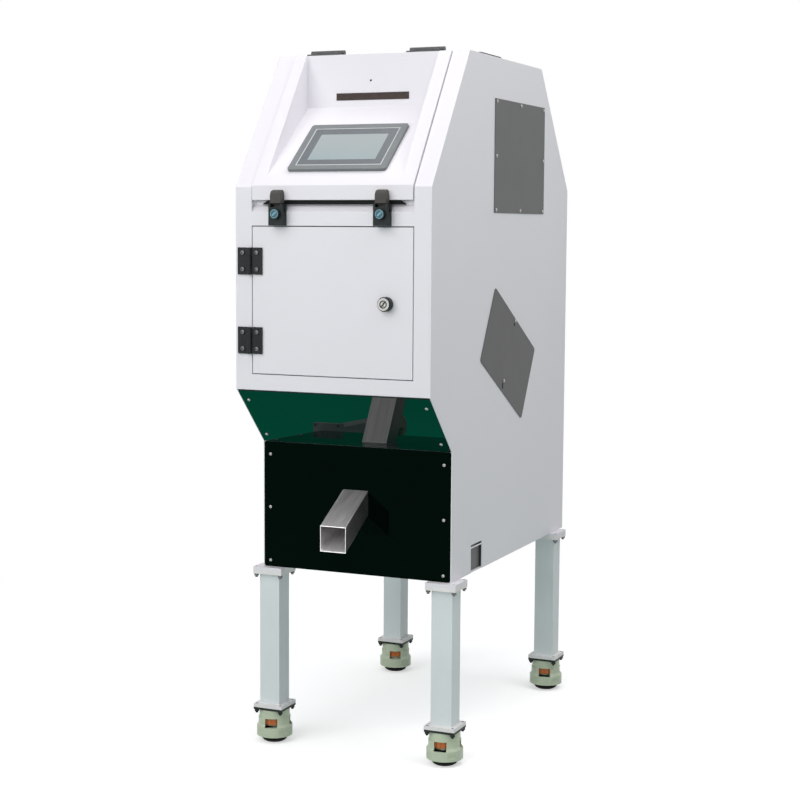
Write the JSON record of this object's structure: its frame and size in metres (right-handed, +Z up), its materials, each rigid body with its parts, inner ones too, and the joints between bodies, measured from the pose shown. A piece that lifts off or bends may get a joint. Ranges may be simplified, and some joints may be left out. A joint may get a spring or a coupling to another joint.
{
  "type": "optical colour sorter",
  "caption": "Upright food sorting machine: white cabinet with hinged hood and touch panel, front door, feed inlet, inner chute and cameras, outlet spout, legs with levelling casters.",
  "frame": {"origin": "on the floor, below the middle of the overall footprint", "axes": "+Z up, +X to the right seen from the front, +Y from the front to the back"},
  "size_m": [0.494, 0.91, 1.5385],
  "materials": {
    "white_paint": "satin powder coat",
    "leg_paint": "satin powder coat",
    "grey_paint": "satin",
    "dark_metal": "satin black",
    "stainless": "brushed",
    "steel": "zinc plated",
    "aluminium": "satin",
    "cast_iron": "rough",
    "green_acrylic": "polished",
    "black_acrylic": "polished",
    "black_plastic": "satin",
    "latch_grey": "satin",
    "rubber": "matte",
    "ivory": "satin",
    "orange": "satin",
    "bezel": "satin",
    "screen": "polished",
    "brown_plastic": "polished"
  },
  "bodies": {
    "cabinet": {"left_side_panel": "white_paint", "right_side_panel": "white_paint", "front_frame": "white_paint", "top_panel": "white_paint", "rear_panel": "white_paint", "base_frame": "white_paint", "green_window": "green_acrylic", "lower_front_panel": "black_acrylic", "upper_side_cover": "grey_paint", "slanted_side_cover": "grey_paint", "outlet_spout": "stainless", "hood_seal": "rubber", "feed_hopper": "stainless", "inlet_trim": "rubber", "feeder_base": "cast_iron", "sorting_chute": "aluminium", "camera_boxes": "aluminium", "light_bars": "aluminium", "ejector_block": "aluminium", "accept_hopper": "stainless", "reject_hopper": "stainless", "control_box": "grey_paint", "leg_front_left": "leg_paint", "leg_front_right": "leg_paint", "leg_rear_left": "leg_paint", "leg_rear_right": "leg_paint", "leg_bolts": "steel", "caster_plates": "dark_metal", "door_hinge_frame_leaves": "dark_metal", "hood_hinge_top_leaves": "dark_metal", "latch_bases": "black_plastic"},
    "hood": {"hood_shell": "white_paint", "touch_panel": "bezel", "touch_screen": "screen", "dark_strip": "brown_plastic", "hood_hinge_hood_leaves": "dark_metal", "latch_keepers": "latch_grey"},
    "door": {"door_panel": "white_paint", "door_hinge_door_leaves": "dark_metal", "lock_body": "black_plastic"},
    "lock": {"lock_plug": "steel"},
    "latch_left": {"latch_knob_left": "black_plastic"},
    "latch_right": {"latch_knob_right": "black_plastic"},
    "feeder": {"feeder_tray": "stainless"},
    "caster_front_left": {"caster_front_left": "ivory"},
    "wheel_front_left": {"wheel_front_left": "black_plastic"},
    "dial_front_left": {"dial_front_left": "orange"},
    "foot_front_left": {"foot_front_left": "rubber"},
    "caster_front_right": {"caster_front_right": "ivory"},
    "wheel_front_right": {"wheel_front_right": "black_plastic"},
    "dial_front_right": {"dial_front_right": "orange"},
    "foot_front_right": {"foot_front_right": "rubber"},
    "caster_rear_left": {"caster_rear_left": "ivory"},
    "wheel_rear_left": {"wheel_rear_left": "black_plastic"},
    "dial_rear_left": {"dial_rear_left": "orange"},
    "foot_rear_left": {"foot_rear_left": "rubber"},
    "caster_rear_right": {"caster_rear_right": "ivory"},
    "wheel_rear_right": {"wheel_rear_right": "black_plastic"},
    "dial_rear_right": {"dial_rear_right": "orange"},
    "foot_rear_right": {"foot_rear_right": "rubber"}
  },
  "joints": [
    {"name": "hood_lift", "type": "hinge", "parent": "cabinet", "child": "hood", "pos_m": [0, -0.20173, 1.5305], "axis": [-1, 0, 0], "range_deg": [0, 75]},
    {"name": "door_swing", "type": "hinge", "parent": "cabinet", "child": "door", "pos_m": [-0.1896, -0.43423, 0.996], "axis": [0, 0, -1], "range_deg": [0, 115]},
    {"name": "lock_turn", "type": "hinge", "parent": "door", "child": "lock", "pos_m": [0.1265, -0.42873, 0.995], "axis": [0, -1, 0], "range_deg": [0, 90]},
    {"name": "latch_left_turn", "type": "hinge", "parent": "cabinet", "child": "latch_left", "pos_m": [-0.12, -0.43873, 1.178], "axis": [0, -1, 0], "range_deg": [0, 90]},
    {"name": "latch_right_turn", "type": "hinge", "parent": "cabinet", "child": "latch_right", "pos_m": [0.12, -0.43873, 1.178], "axis": [0, -1, 0], "range_deg": [0, 90]},
    {"name": "feeder_shake", "type": "slide", "parent": "cabinet", "child": "feeder", "axis": [0, 1, 0], "range_m": [-0.0015, 0.0015], "stiffness_N_per_m": 34000},
    {"name": "front_left_swivel", "type": "hinge", "parent": "cabinet", "child": "caster_front_left", "pos_m": [-0.207, -0.28873, 0.07], "axis": [0, 0, 1], "continuous": true},
    {"name": "front_left_roll", "type": "hinge", "parent": "caster_front_left", "child": "wheel_front_left", "pos_m": [-0.21861, -0.24215, 0.023], "axis": [0.9703, 0.2419, 0], "continuous": true},
    {"name": "front_left_foot", "type": "slide", "parent": "caster_front_left", "child": "foot_front_left", "axis": [0, 0, 1], "range_m": [0, 0.008]},
    {"name": "front_left_dial", "type": "hinge", "parent": "caster_front_left", "child": "dial_front_left", "pos_m": [-0.207, -0.28873, 0.045], "axis": [0, 0, 1], "range_deg": [0, 720.5]},
    {"name": "front_right_swivel", "type": "hinge", "parent": "cabinet", "child": "caster_front_right", "pos_m": [0.207, -0.28873, 0.07], "axis": [0, 0, 1], "continuous": true},
    {"name": "front_right_roll", "type": "hinge", "parent": "caster_front_right", "child": "wheel_front_right", "pos_m": [0.20282, -0.24091, 0.023], "axis": [0.9962, 0.0872, 0], "continuous": true},
    {"name": "front_right_foot", "type": "slide", "parent": "caster_front_right", "child": "foot_front_right", "axis": [0, 0, 1], "range_m": [0, 0.008]},
    {"name": "front_right_dial", "type": "hinge", "parent": "caster_front_right", "child": "dial_front_right", "pos_m": [0.207, -0.28873, 0.045], "axis": [0, 0, 1], "range_deg": [0, 720.5]},
    {"name": "rear_left_swivel", "type": "hinge", "parent": "cabinet", "child": "caster_rear_left", "pos_m": [-0.207, 0.38727, 0.07], "axis": [0, 0, 1], "continuous": true},
    {"name": "rear_left_roll", "type": "hinge", "parent": "caster_rear_left", "child": "wheel_rear_left", "pos_m": [-0.22498, 0.43178, 0.023], "axis": [0.9272, 0.3746, 0], "continuous": true},
    {"name": "rear_left_foot", "type": "slide", "parent": "caster_rear_left", "child": "foot_rear_left", "axis": [0, 0, 1], "range_m": [0, 0.008]},
    {"name": "rear_left_dial", "type": "hinge", "parent": "caster_rear_left", "child": "dial_rear_left", "pos_m": [-0.207, 0.38727, 0.045], "axis": [0, 0, 1], "range_deg": [0, 720.5]},
    {"name": "rear_right_swivel", "type": "hinge", "parent": "cabinet", "child": "caster_rear_right", "pos_m": [0.207, 0.38727, 0.07], "axis": [0, 0, 1], "continuous": true},
    {"name": "rear_right_roll", "type": "hinge", "parent": "caster_rear_right", "child": "wheel_rear_right", "pos_m": [0.1962, 0.43404, 0.023], "axis": [0.9744, 0.225, 0], "continuous": true},
    {"name": "rear_right_foot", "type": "slide", "parent": "caster_rear_right", "child": "foot_rear_right", "axis": [0, 0, 1], "range_m": [0, 0.008]},
    {"name": "rear_right_dial", "type": "hinge", "parent": "caster_rear_right", "child": "dial_rear_right", "pos_m": [0.207, 0.38727, 0.045], "axis": [0, 0, 1], "range_deg": [0, 720.5]}
  ],
  "couplings": [
    {"joint": "front_left_dial", "follows": "front_left_foot", "rad_per_m": 1570.8},
    {"joint": "front_right_dial", "follows": "front_right_foot", "rad_per_m": 1570.8},
    {"joint": "rear_left_dial", "follows": "rear_left_foot", "rad_per_m": 1570.8},
    {"joint": "rear_right_dial", "follows": "rear_right_foot", "rad_per_m": 1570.8}
  ]
}
